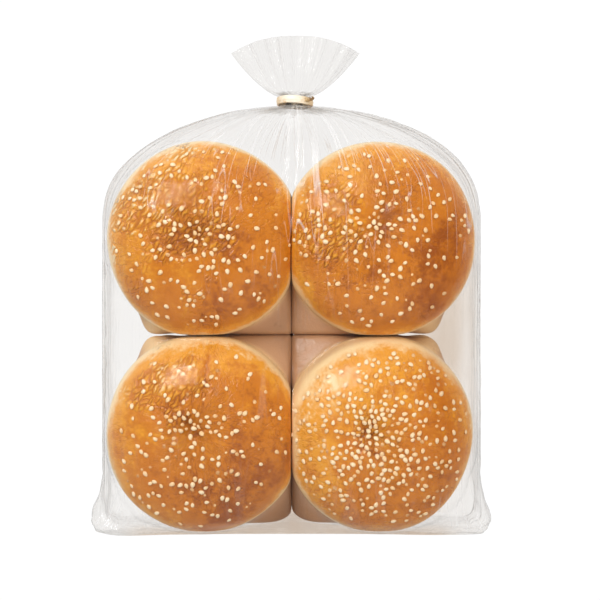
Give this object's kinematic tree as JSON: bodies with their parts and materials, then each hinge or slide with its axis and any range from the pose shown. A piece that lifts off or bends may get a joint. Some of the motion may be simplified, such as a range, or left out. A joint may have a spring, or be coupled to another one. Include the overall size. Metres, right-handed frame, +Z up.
{
  "type": "bagged hamburger buns",
  "caption": "Clear film bag of sesame hamburger buns stacked in layers, standing on its base, its neck gathered in a paper twist tie with a pleated fan of film above.",
  "frame": {"origin": "on the ground, below the middle of the bag's bounding box", "axes": "+Z up from the base to the tied neck, +X to the right and -Y towards the viewer of the shown side"},
  "size_m": [0.2202, 0.099, 0.2782],
  "materials": {
    "film": "thin clear film, glossy, creased",
    "tie_paper": "tan paper over a wire",
    "crust": "golden brown baked crust, satin",
    "sesame": "cream seeds, satin"
  },
  "bodies": {
    "root": {"bag": "film", "tie": "tie_paper"}
  },
  "joints": []
}
